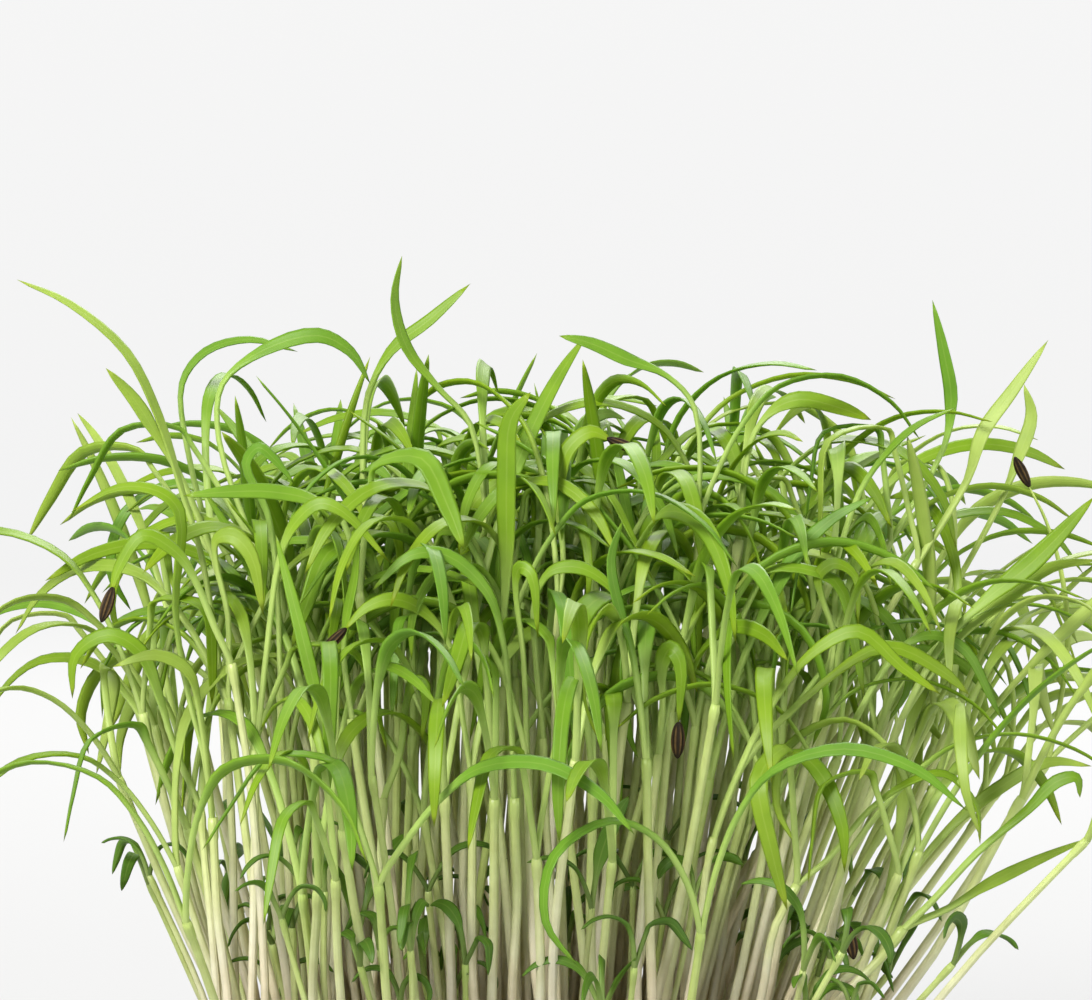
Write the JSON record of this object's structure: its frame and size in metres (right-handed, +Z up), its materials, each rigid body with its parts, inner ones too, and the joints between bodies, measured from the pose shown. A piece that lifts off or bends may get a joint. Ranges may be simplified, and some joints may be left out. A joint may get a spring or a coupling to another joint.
{
  "type": "microgreens tray",
  "caption": "Shallow plastic tray of soil with a dense stand of long-leaved herb seedlings, some with seed husks still on their leaf tips.",
  "frame": {"origin": "middle of the tray's flat base", "axes": "+Z up, +X to the right along the tray's long side and +Y away from the viewer"},
  "size_m": [0.1871, 0.1465, 0.1372],
  "materials": {
    "tray_plastic": "satin",
    "soil": "matte",
    "seedling": "satin",
    "husk": "matte"
  },
  "bodies": {
    "root": {"tray": "tray_plastic", "soil": "soil", "sprouts_1_1": "seedling", "sprouts_1_2": "seedling", "sprouts_1_3": "seedling", "sprouts_1_4": "seedling", "sprouts_1_5": "seedling", "sprouts_1_6": "seedling", "sprouts_1_7": "seedling", "sprouts_1_8": "seedling", "sprouts_2_1": "seedling", "sprouts_2_2": "seedling", "sprouts_2_3": "seedling", "sprouts_2_4": "seedling", "sprouts_2_5": "seedling", "sprouts_2_6": "seedling", "sprouts_2_7": "seedling", "sprouts_2_8": "seedling", "sprouts_3_1": "seedling", "sprouts_3_2": "seedling", "sprouts_3_3": "seedling", "sprouts_3_4": "seedling", "sprouts_3_5": "seedling", "sprouts_3_6": "seedling", "sprouts_3_7": "seedling", "sprouts_3_8": "seedling", "sprouts_4_1": "seedling", "sprouts_4_2": "seedling", "sprouts_4_3": "seedling", "sprouts_4_4": "seedling", "sprouts_4_5": "seedling", "sprouts_4_6": "seedling", "sprouts_4_7": "seedling", "sprouts_4_8": "seedling", "sprouts_5_1": "seedling", "sprouts_5_2": "seedling", "sprouts_5_3": "seedling", "sprouts_5_4": "seedling", "sprouts_5_5": "seedling", "sprouts_5_6": "seedling", "sprouts_5_7": "seedling", "sprouts_5_8": "seedling", "sprouts_6_1": "seedling", "sprouts_6_2": "seedling", "sprouts_6_3": "seedling", "sprouts_6_4": "seedling", "sprouts_6_5": "seedling", "sprouts_6_6": "seedling", "sprouts_6_7": "seedling", "sprouts_6_8": "seedling", "seed_husk_1": "husk", "seed_husk_2": "husk", "seed_husk_3": "husk", "seed_husk_4": "husk", "seed_husk_5": "husk", "seed_husk_6": "husk", "seed_husk_7": "husk"}
  },
  "joints": []
}
